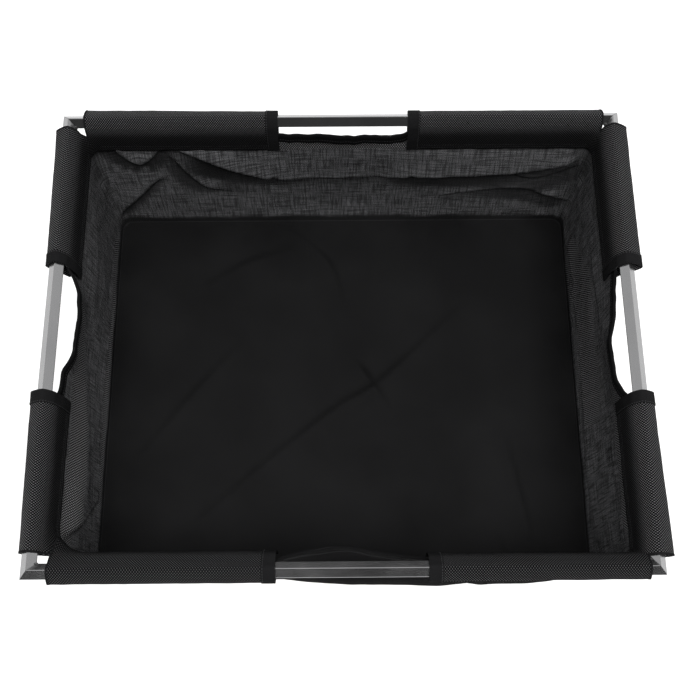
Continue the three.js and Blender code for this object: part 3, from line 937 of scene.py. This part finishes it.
def wallGrid(sideName):
    side = rimSides[sideName]
    lowRadius, highRadius = cornerRadii(sideName)
    straight = 2 * (side["endReach"] - tub["topInset"]) - lowRadius - highRadius
    arc = tub["arcColumns"]
    count = round(2 * side["endReach"] / tub["step"]) - 2 * arc
    share = np.concatenate([np.full(arc, -1.0), np.linspace(-1, 1, count), np.full(arc, 1.0)])
    angles = np.zeros(len(share))
    steps = np.arange(1, arc + 1) * math.radians(45) / arc
    angles[:arc] = -steps[::-1]
    angles[-arc:] = steps
    straightEnd = floorDepth - tub["foot"]
    top = edgeDrop(sideName, share * straight / 2 + (lowRadius - highRadius) / 2)
    t = np.linspace(0, 1, tub["rows"])[:, None]
    depth = top[None, :] + t * (straightEnd - top[None, :])
    extra = np.zeros(depth.shape)
    turn = (np.arange(1, tub["footRows"] + 1) * math.radians(90) / tub["footRows"])[:, None]
    footShape = (len(turn), len(share))
    depth = np.vstack([depth, np.broadcast_to(straightEnd + tub["foot"] * np.sin(turn), footShape)])
    extra = np.vstack([extra, np.broadcast_to(tub["foot"] * (1 - np.cos(turn)), footShape)])
    sloping = straightEnd - tub["straightTo"]
    slope = (tub["bottomInset"] - tub["topInset"]) / sloping
    inset = tub["topInset"] + slope * np.clip(depth - tub["straightTo"], 0, sloping) + extra
    tighter = smoothStep((depth - 40 * mm) / (140 * mm))
    lowCorner = np.maximum(lowRadius + (tub["lowRadius"] - lowRadius) * tighter - extra, 1.5 * mm)
    highCorner = np.maximum(highRadius + (tub["lowRadius"] - highRadius) * tighter - extra, 1.5 * mm)
    radius = np.where(share[None, :] < 0, lowCorner, highCorner)
    sine = np.sin(angles)[None, :]
    cosine = np.cos(angles)[None, :]
    lowEnd = -(side["endReach"] - inset - lowCorner)
    highEnd = side["endReach"] - inset - highCorner
    along = lowEnd + (share + 1) / 2 * (highEnd - lowEnd) + radius * sine
    out = -inset - radius + radius * cosine
    free = smoothStep((side["endReach"] - 16 * mm - np.abs(along)) / (22 * mm))
    atFoot = smoothStep((floorDepth - depth) / (26 * mm))
    push, slide, cavity = wallPush(sideName, along / mm, depth / mm)
    push = push * free * atFoot * mm
    slide = slide * free * atFoot * mm
    lengths = np.hypot(np.diff(depth, axis=0), np.diff(inset, axis=0))
    cutDown = np.concatenate([top[None, :] * 0, np.cumsum(lengths, axis=0)])
    flat = np.stack([along, cutDown + top[None, :]], axis=-1)
    points = place(side, along - push * sine, out - push * cosine, -depth - slide)
    return points, flat, cavity


def nearLine(along, depth, line):
    best = np.full(along.shape, 1e9)
    for start, end in zip(np.array(line[:-1], float), np.array(line[1:], float)):
        run = end - start
        share = np.clip(((along - start[0]) * run[0] + (depth - start[1]) * run[1]) / run.dot(run), 0, 1)
        distance = np.hypot(along - start[0] - share * run[0], depth - start[1] - share * run[1])
        best = np.minimum(best, distance)
    return best


def makeWall(sideName):
    side = rimSides[sideName]
    points, flat, cavity = wallGrid(sideName)
    along = flat[..., 0] / mm
    depth = flat[..., 1] / mm
    band = np.zeros(along.shape)
    for line, half in meshBands[sideName]:
        band = np.maximum(band, smoothStep((half - nearLine(along, depth, line)) / (half * 0.35)))
    ragged = 5 * lumps(along, depth * 0, 46, 9, len(sideName)) + 2 * lumps(along, depth * 0, 13, 9, 3)
    footShade = smoothStep((depth - tub["footShadeFrom"] + ragged) / tub["footShadeOver"])
    shade = np.maximum(footShade, tub["cavityShade"] * cavity)
    toCorner = side["endReach"] / mm - tub["topInset"] / mm - np.abs(along)
    near = np.exp(-((np.maximum(toCorner - 2, 0) / tub["cornerShadeOver"]) ** 2))
    shade = np.maximum(shade, tub["cornerShade"] * near)
    painted = {"openMesh": band, "shade": shade}
    outside = np.array(side["out"])
    piece = clothGrid("tub_wall_cloth_" + sideName, points, flat, lambda centres: outside, None, painted)
    belongs(piece, "cart", "wall_cloth", backingCloth, "tub_wall_" + sideName)
    piece.data.materials.append(wallCloth)
    applied(piece, "SUBSURF", levels=1, render_levels=1)
    applied(piece, "SOLIDIFY", thickness=tub["thickness"], offset=0.0, material_offset=1)
    return points


wallPoints = {sideName: makeWall(sideName) for sideName in rimSides}
print("walls hung")

# The floor: creases are (x, y, strength) lines in millimetres
floorCreases = [
    {"line": [(-190, -176, 0.5), (-90, -90, 0.8), (0, -20, 1), (50, 10, 1), (168, 124, 0.3)],
     "rise": 5.76, "fall": 3.24, "above": 16, "below": 12, "lap": 0},
    {"line": [(-270, -84, 0.4), (-196, 8, 0.8), (-150, 60, 0.2)],
     "rise": 4.68, "fall": 2.88, "above": 14, "below": 12, "lap": 0},
    {"line": [(-190, 160, 0.4), (-128, 195, 0.8), (-70, 215, 0.2)],
     "rise": 4.32, "fall": 2.88, "above": 14, "below": 10, "lap": 0},
    {"line": [(-76, 246, 0.3), (-18, 189, 0.8), (3, 120, 0.2)],
     "rise": 3.96, "fall": 2.52, "above": 12, "below": 10, "lap": 0},
    {"line": [(20, 40, 0.2), (31, 22, 1), (62, -22, 0.3)],
     "rise": 6.48, "fall": 4.32, "above": 9, "below": 8, "lap": 0},
    {"line": [(205, -205, 0.9), (208, -222, 1), (226, -236, 1)],
     "rise": 1, "fall": 2, "above": 10, "below": 10, "lap": 0, "dark": 9},
    {"line": [(222, -70, 0.3), (236, -150, 0.8), (250, -215, 0.3)],
     "rise": 4.68, "fall": 2.88, "above": 14, "below": 12, "lap": 0},
]


def makeFloor():
    # spanned between the walls' feet, so that the seams meet
    front = wallPoints["front"][-1]
    back = wallPoints["back"][-1]
    left = wallPoints["left"][-1]
    right = wallPoints["right"][-1]
    u = np.linspace(0, 1, len(front))[None, :, None]
    v = np.linspace(0, 1, len(left))[:, None, None]
    ruledY = (1 - v) * front[None] + v * back[None]
    ruledX = (1 - u) * left[:, None] + u * right[:, None]
    frontCorners = (1 - u) * (1 - v) * front[0] + u * (1 - v) * front[-1]
    corners = frontCorners + (1 - u) * v * back[0] + u * v * back[-1]
    points = ruledY + ruledX - corners
    x = points[..., 0] / mm
    y = points[..., 1] / mm
    lift = 0.6 * lumps(x, y, 70, 60, 2) + 0.3 * lumps(x, y, 22, 26, 4)
    shade = np.zeros(x.shape)
    for crease in floorCreases:
        up, _, dark = lapOver(x, y, crease)
        lift = lift + up
        shade = np.maximum(shade, tub["creaseShade"] * dark)
    # millimetres from the floor's edge, near enough
    edge = np.minimum(np.minimum(u, 1 - u)[..., 0] * 640, np.minimum(v, 1 - v)[..., 0] * 520)
    points[..., 2] += np.maximum(lift, -0.4) * smoothStep(edge / tub["liftFrom"]) * mm
    shade = np.maximum(shade, tub["edgeShade"] * (1 - smoothStep(edge / tub["edgeShadeOver"])))
    # the floor's edge lies up on the walls' feet
    points[..., 2] += tub["edgeRise"] * (1 - smoothStep(edge / tub["edgeRiseOver"]))
    for axis in (0, 1):
        points[..., axis] *= 1 + tub["edgeLap"] / np.abs(points[..., axis]).max()
    flat = points[..., :2].copy()
    down = np.array((0, 0, -1.0))
    piece = clothGrid("tub_floor_cloth", points, flat, lambda centres: down, None, {"shade": shade})
    applied(piece, "SOLIDIFY", thickness=tub["thickness"], offset=0.0)
    belongs(piece, "cart", "floor_cloth", floorCloth, "tub_floor")


makeFloor()
print("floor laid")


def makeTape(sideName):
    # folded over the wall's bare edge in a handhold
    side = rimSides[sideName]
    ends = [at * mm for at, _ in handhold[sideName]["drop"]]
    low, high = min(ends), max(ends)
    stations = np.linspace(low, high, round((high - low) / tape["step"]) + 1)
    width = tape["width"]
    part = tape["spread"]
    outerSide = [(part, width), (part, width * 0.5), (part * 1.1, 2 * mm)]
    innerSide = [(-across, depth) for across, depth in reversed(outerSide)]
    section = curveThrough(np.array(outerSide + [(0, 0)] + innerSide) / mm, 19) * mm
    grid = []
    seed = sum(ord(letter) for letter in sideName)
    for at in stations:
        drop = float(edgeDrop(sideName, np.array([at]))[0]) - 1.5 * mm
        wave = noise.noise(Vector((at / (12 * mm), seed, 0)))
        wave += 1.5 * noise.noise(Vector((at / (38 * mm), seed, 5)))
        depth = drop + section[:, 1] + wave * tape["wave"]
        sloped = np.clip((depth - tub["straightTo"]) / 0.2, 0, 1)
        inset = tub["topInset"] + (tub["bottomInset"] - tub["topInset"]) * sloped
        push, slide, _ = wallPush(sideName, np.full(len(section), at / mm), np.maximum(depth, drop) / mm)
        out = -inset - push * mm + section[:, 0]
        grid.append(place(side, np.full(len(section), at), out, -depth - slide * mm))
    points = np.array(grid)
    lengths = np.concatenate([[0], np.cumsum(np.linalg.norm(np.diff(section, axis=0), axis=1))])
    flat = np.stack(np.broadcast_arrays(stations[:, None], lengths[None, :]), axis=-1)
    middleColumn = len(section) // 2
    core = points[:, middleColumn]

    def away(centres):
        index = np.argmin(np.abs((centres[:, None] - core[None]) @ np.array(side["along"])), axis=1)
        return centres - core[index] + np.array((0, 0, width * 0.6))

    piece = clothGrid("tub_binding_tape_" + sideName, points, flat, away)
    applied(piece, "SOLIDIFY", thickness=tape["thickness"], offset=1.0)
    belongs(piece, "cart", "binding_tape", bindingTape, "tub_binding_" + sideName)
    outside = np.array(side["out"])
    proud = outside * (tape["thickness"] + 0.2 * mm)
    rows = [(points[:, 15] - proud, -outside), (points[:, 3] + proud, outside)]
    stitches = stitchRows("tub_binding_stitches_" + sideName, rows)


for sideName in rimSides:
    makeTape(sideName)
print("handholds bound")


# Frame pieces: some nodes keep their shape and get a finish, others are replaced by rounded copies
def finishNode(node, material):
    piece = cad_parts[node]
    piece.data.materials.clear()
    piece.data.materials.append(material)


def roundedCopy(node, body, slot, material, width):
    # a copy of a CAD node with its sharp edges rounded
    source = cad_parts[node]
    piece = bpy.data.objects.new(node + "_finished", source.data.copy())
    scene.collection.objects.link(piece)
    only(piece)
    bpy.ops.object.mode_set(mode="EDIT")
    bpy.ops.mesh.select_all(action="SELECT")
    bpy.ops.mesh.remove_doubles(threshold=0.01 * mm)
    bpy.ops.mesh.dissolve_limited(angle_limit=math.radians(1))
    bpy.ops.object.mode_set(mode="OBJECT")
    applied(piece, "BEVEL", width=width, segments=2, limit_method="ANGLE", angle_limit=math.radians(30),
            use_clamp_overlap=True, harden_normals=False)
    only(piece)
    bpy.ops.object.shade_smooth_by_angle(angle=math.radians(35))
    return belongs(piece, body, slot, material, node)


for sideName in rimSides:
    finishNode("rim_rail_" + sideName, rimPaint)
    finishNode("base_bar_" + sideName, basePaint)
finishNode("deck_board", plywood)
for post in [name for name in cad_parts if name.startswith("post_")]:
    finishNode(post, basePaint)
for side in ("left", "right"):
    roundedCopy("caster_cross_plate_" + side, "cart", "base_paint", basePaint, 0.5 * mm)
for node in sorted(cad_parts):
    if node.startswith(("caster_plate", "caster_kingpin")):
        roundedCopy(node, "cart", "zinc", zinc, 0.5 * mm)
    if node.startswith(("caster_fork", "caster_axle")):
        corner = node.split("_", 2)[2]
        roundedCopy(node, "swivel_" + corner, "zinc", zinc, 0.5 * mm)
    if node.startswith("caster_brake_pedal"):
        roundedCopy(node, "brake_" + node.split("_", 3)[3], "pedal_plastic", pedalPlastic, 0.6 * mm)
print("metal finished")

# Wheels
wheel = {
    "segments": 72,
    "rimLip": 4 * mm,
    "recess": 10 * mm,
    "recessSlope": 1.2 * mm,
    "web": 24 * mm,
    "ribs": 6,
    "ribShare": 0.11,
    "ribReach": (17 * mm, 42 * mm),
    "ribHeight": 0.75,  # of the recess
    "ribSlope": 0.6 * mm,
    "boss": 5 * mm,
    "bossSlope": 1.5 * mm,
    "tyreOverHub": 2 * mm,
}
tyre = {"segments": 96, "fit": 0.2 * mm, "tread": 8 * mm, "groove": 1.6 * mm, "grooveDepth": 1.4 * mm,
        "grooveSlope": 0.5 * mm, "shoulder": 3.2 * mm}
corners = ("front_left", "back_left", "front_right", "back_right")


def inset(thickness, depth=0.0):
    bpy.ops.mesh.inset(thickness=thickness, depth=depth, use_boundary=True)


def sideways(name, centre, radius, width, segments):
    # a cylinder lying along the axle
    bpy.ops.mesh.primitive_cylinder_add(
        vertices=segments, radius=radius, depth=width, location=centre, rotation=(math.radians(90), 0, 0)
    )
    piece = bpy.context.active_object
    piece.name = name
    settle(piece)
    return piece


def editFaces(piece, wanted):
    # edit mode with only the wanted faces selected
    bpy.ops.object.mode_set(mode="EDIT")
    bpy.ops.mesh.select_mode(type="FACE")
    bpy.ops.mesh.select_all(action="DESELECT")
    bpy.ops.object.mode_set(mode="OBJECT")
    for face in piece.data.polygons:
        face.select = wanted(face)
    bpy.ops.object.mode_set(mode="EDIT")


def onEnd(face):
    return abs(face.normal.y) > 0.9


def makeHub(corner):
    node = "caster_hub_" + corner
    centre = middle(node)
    low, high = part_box(node)
    radius = (high.x - low.x) / 2
    bossHalf = (high.y - low.y) / 2
    tyreLow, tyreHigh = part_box("caster_tyre_" + corner)
    half = (tyreHigh.y - tyreLow.y) / 2 - wheel["tyreOverHub"]
    piece = sideways("caster_hub_moulded_" + corner, centre, radius, 2 * half, wheel["segments"])
    editFaces(piece, onEnd)
    inset(wheel["rimLip"])
    inset(wheel["recessSlope"], -wheel["recess"])
    inset(wheel["web"])
    inset(wheel["bossSlope"], wheel["recess"] + bossHalf - half)
    inset(wheel["boss"])
    bpy.ops.mesh.bridge_edge_loops()
    bpy.ops.object.mode_set(mode="OBJECT")

    def onRib(face):
        fromAxis = math.hypot(face.center.x - centre.x, face.center.z - centre.z)
        turn = math.atan2(face.center.z - centre.z, face.center.x - centre.x) * wheel["ribs"] / (2 * math.pi)
        inner, outer = wheel["ribReach"]
        return onEnd(face) and inner < fromAxis < outer and abs(turn - round(turn)) < wheel["ribShare"]

    editFaces(piece, onRib)
    inset(wheel["ribSlope"], wheel["recess"] * wheel["ribHeight"])
    bpy.ops.object.mode_set(mode="OBJECT")
    applied(piece, "BEVEL", width=0.7 * mm, segments=2, limit_method="ANGLE", angle_limit=math.radians(40))
    only(piece)
    bpy.ops.object.shade_smooth_by_angle(angle=math.radians(40))
    belongs(piece, "wheel_" + corner, "hub_plastic", hubPlastic, node)


def makeTyre(corner):
    node = "caster_tyre_" + corner
    centre = middle(node)
    low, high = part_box(node)
    radius = (high.z - low.z) / 2
    half = (high.y - low.y) / 2
    hubLow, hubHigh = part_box("caster_hub_" + corner)
    seat = (hubHigh.x - hubLow.x) / 2 + tyre["fit"]
    piece = sideways("caster_tyre_rubber_" + corner, centre, radius, 2 * half, tyre["segments"])
    editFaces(piece, onEnd)
    inset(radius - seat)
    bpy.ops.mesh.bridge_edge_loops()
    bpy.ops.object.mode_set(mode="OBJECT")

    def onTread(face):
        fromAxis = math.hypot(face.center.x - centre.x, face.center.z - centre.z)
        return abs(face.normal.y) < 0.5 and fromAxis > (radius + seat) / 2

    # two grooves round the tread
    editFaces(piece, onTread)
    inset(tyre["tread"])
    inset(tyre["grooveSlope"], -tyre["grooveDepth"])
    inset(tyre["groove"])
    inset(tyre["grooveSlope"], tyre["grooveDepth"])
    bpy.ops.object.mode_set(mode="OBJECT")
    applied(piece, "BEVEL", width=tyre["shoulder"], segments=4, limit_method="ANGLE",
            angle_limit=math.radians(60))
    only(piece)
    bpy.ops.object.shade_smooth_by_angle(angle=math.radians(40))
    belongs(piece, "wheel_" + corner, "tyre_rubber", rubber, node)


for corner in corners:
    makeHub(corner)
    makeTyre(corner)
print("wheels made")

# Bolts, one modelled and copied to the four holes of each caster
bolt = {"across": 13 * mm, "head": 5.3 * mm, "nut": 6.5 * mm, "grip": 8.6 * mm, "inset": 10 * mm}
# the shank and the washer: radius, low end, high end
boltRounds = [(4 * mm, -18.5 * mm, 1 * mm), (8 * mm, -8.55 * mm, -7.2 * mm)]


def makeBolt():
    parts = []
    flatToCorner = 1 / math.cos(math.radians(30))
    for depth, at in ((bolt["head"], bolt["head"] / 2), (bolt["nut"], -bolt["grip"] - bolt["nut"] / 2)):
        bpy.ops.mesh.primitive_cylinder_add(
            vertices=6, radius=bolt["across"] / 2 * flatToCorner, depth=depth, location=(0, 0, at)
        )
        parts.append(bpy.context.active_object)
        applied(parts[-1], "BEVEL", width=0.6 * mm, segments=2)
    for radius, low, high in boltRounds:
        bpy.ops.mesh.primitive_cylinder_add(
            vertices=24, radius=radius, depth=high - low, location=(0, 0, (low + high) / 2)
        )
        parts.append(bpy.context.active_object)
        applied(parts[-1], "BEVEL", width=0.3 * mm, segments=2, limit_method="ANGLE")
    model = join("boltModel", parts)
    settle(model)
    bpy.ops.object.shade_smooth_by_angle(angle=math.radians(35))
    return model


boltModel = makeBolt()
for corner in corners:
    low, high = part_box("caster_plate_" + corner)
    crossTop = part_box("caster_cross_plate_" + corner.split("_")[1])[1].z
    copies = []
    for x in (low.x + bolt["inset"], high.x - bolt["inset"]):
        for y in (low.y + bolt["inset"], high.y - bolt["inset"]):
            copy = boltModel.copy()
            copy.data = boltModel.data.copy()
            scene.collection.objects.link(copy)
            copy.location = (x, y, crossTop)
            copies.append(copy)
    bolts = join("caster_bolts_" + corner, copies)
    settle(bolts)
    belongs(bolts, "cart", "zinc", zinc)
bpy.data.objects.remove(boltModel)
print("bolts placed")

# Deck screws
screw = {"radius": 4.6 * mm, "height": 1.0 * mm, "sunk": 0.6 * mm, "fromEdge": 14 * mm,
         "fromEnd": (160 * mm, 12 * mm)}


def makeScrews():
    low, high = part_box("deck_board")
    copies = []
    inner, outer = screw["fromEnd"]
    for x in (low.x + inner, high.x - inner, low.x + outer, high.x - outer):
        for y in (low.y + screw["fromEdge"], high.y - screw["fromEdge"]):
            place3 = (x, y, high.z - screw["sunk"])
            bpy.ops.mesh.primitive_cylinder_add(
                vertices=32, radius=screw["radius"], depth=screw["height"], location=place3
            )
            copies.append(bpy.context.active_object)
            applied(copies[-1], "BEVEL", width=0.4 * mm, segments=2, limit_method="ANGLE")
    screws = join("deck_screws", copies)
    settle(screws)
    belongs(screws, "cart", "zinc", zinc)


makeScrews()

# Weld beads: inside the rim's corners
bead = {"length": 7 * mm, "across": 3.38 * mm, "sunk": 0.4 * mm, "ripple": 0.25 * mm}


def makeBeads():
    beads = []
    for signX in (-1, 1):
        for signY in (-1, 1):
            x = signX * (rimSides["right"]["reach"] - railHalf + bead["sunk"])
            y = signY * (rimSides["back"]["reach"] - railHalf + bead["sunk"])
            centre = (x, y, railZ)
            bpy.ops.mesh.primitive_uv_sphere_add(segments=20, ring_count=12, radius=0.5, location=centre)
            piece = bpy.context.active_object
            piece.scale = (bead["across"], bead["across"], bead["length"])
            settle(piece)
            for vertex in piece.data.vertices:
                vertex.co += vertex.normal * bead["ripple"] * noise.noise(vertex.co * 900)
            beads.append(piece)
    welds = join("rim_weld_beads", beads)
    bpy.ops.object.shade_smooth()
    belongs(welds, "cart", "rim_paint", weldSteel)


makeBeads()
print("beads and screws placed")

# Studio: pale floor, soft light from above and behind, darker in front
studio = {
    "floorSize": 60,
    "floorGlow": 0.72,
    "background": 0.9,
    "frontLevel": 0.02,  # the surroundings' light in front and behind
    "backLevel": 0.75,
    "frontEnds": -0.75,
    "backBegins": 0.25,
    "mattLevel": 0.6,  # its share on matt surfaces
    "boxPower": 80,
    "boxPlace": (0.25, -0.7, 2.9),
    "boxAim": (0, 0.1, 0.3),
    "boxSize": (1.8, 1.3),
}


def makeStudio():
    bpy.ops.mesh.primitive_plane_add(size=studio["floorSize"])
    floor = bpy.context.active_object
    floor.name = "studio_floor"
    n = Nodes("studioFloor")
    n.shader.inputs["Base Color"].default_value = (0.6, 0.6, 0.6, 1)
    n.shader.inputs["Roughness"].default_value = 0.9
    n.shader.inputs["Emission Color"].default_value = (1, 1, 1, 1)
    n.shader.inputs["Emission Strength"].default_value = studio["floorGlow"]
    floor.data.materials.append(n.material)

    world = bpy.data.worlds.new("studio")
    world.use_nodes = True
    tree = world.node_tree
    background = tree.nodes["Background"]
    direction = tree.nodes.new("ShaderNodeTexCoord")
    parts = tree.nodes.new("ShaderNodeSeparateXYZ")
    tree.links.new(direction.outputs["Generated"], parts.inputs[0])
    level = tree.nodes.new("ShaderNodeMapRange")
    level.interpolation_type = "SMOOTHSTEP"
    tree.links.new(parts.outputs["Y"], level.inputs["Value"])
    level.inputs["From Min"].default_value = studio["frontEnds"]
    level.inputs["From Max"].default_value = studio["backBegins"]
    level.inputs["To Min"].default_value = studio["frontLevel"]
    level.inputs["To Max"].default_value = studio["backLevel"]
    seen = tree.nodes.new("ShaderNodeLightPath")
    strength = tree.nodes.new("ShaderNodeMix")
    tree.links.new(seen.outputs["Is Camera Ray"], strength.inputs[0])
    dimmed = tree.nodes.new("ShaderNodeMapRange")
    tree.links.new(seen.outputs["Is Diffuse Ray"], dimmed.inputs["Value"])
    dimmed.inputs["To Min"].default_value = 1.0
    dimmed.inputs["To Max"].default_value = studio["mattLevel"]
    lit = tree.nodes.new("ShaderNodeMath")
    lit.operation = "MULTIPLY"
    tree.links.new(level.outputs["Result"], lit.inputs[0])
    tree.links.new(dimmed.outputs["Result"], lit.inputs[1])
    tree.links.new(lit.outputs[0], strength.inputs[2])
    strength.inputs[3].default_value = studio["background"]
    tree.links.new(strength.outputs[0], background.inputs["Strength"])
    background.inputs["Color"].default_value = (1, 1, 1, 1)
    scene.world = world


def softbox(name, place3, target, width, height, power):
    light = bpy.data.lights.new(name, "AREA")
    light.shape = "RECTANGLE"
    light.size = width
    light.size_y = height
    light.energy = power
    lamp = bpy.data.objects.new(name, light)
    scene.collection.objects.link(lamp)
    lamp.visible_glossy = False
    lamp.location = place3
    lamp.rotation_euler = (Vector(target) - Vector(place3)).to_track_quat("-Z", "Y").to_euler()


makeStudio()
softbox("softTop", studio["boxPlace"], studio["boxAim"], *studio["boxSize"], studio["boxPower"])

# Camera, by its angle round the cart and its distance from what it looks at
camera = {
    "elevation": 70.51,
    "azimuth": 0.43,
    "distance": 1.211,
    "aimAside": 6.8 * mm,
    "aimForward": -25.1 * mm,
    "lens": 53.8,
}


def makeCamera():
    data = bpy.data.cameras.new("camera")
    data.sensor_width = 36
    data.lens = camera["lens"]
    data.clip_end = 100
    eye = bpy.data.objects.new("camera", data)
    scene.collection.objects.link(eye)
    elevation = math.radians(camera["elevation"])
    azimuth = math.radians(camera["azimuth"])
    level = math.cos(elevation)
    looking = Vector((math.sin(azimuth) * level, math.cos(azimuth) * level, -math.sin(elevation)))
    aim = Vector((camera["aimAside"], camera["aimForward"], railZ))
    eye.location = aim - looking * camera["distance"]
    eye.rotation_euler = (math.radians(90) - elevation, 0, -azimuth)
    scene.camera = eye


makeCamera()
scene.view_settings.view_transform = "Standard"
print("studio ready")
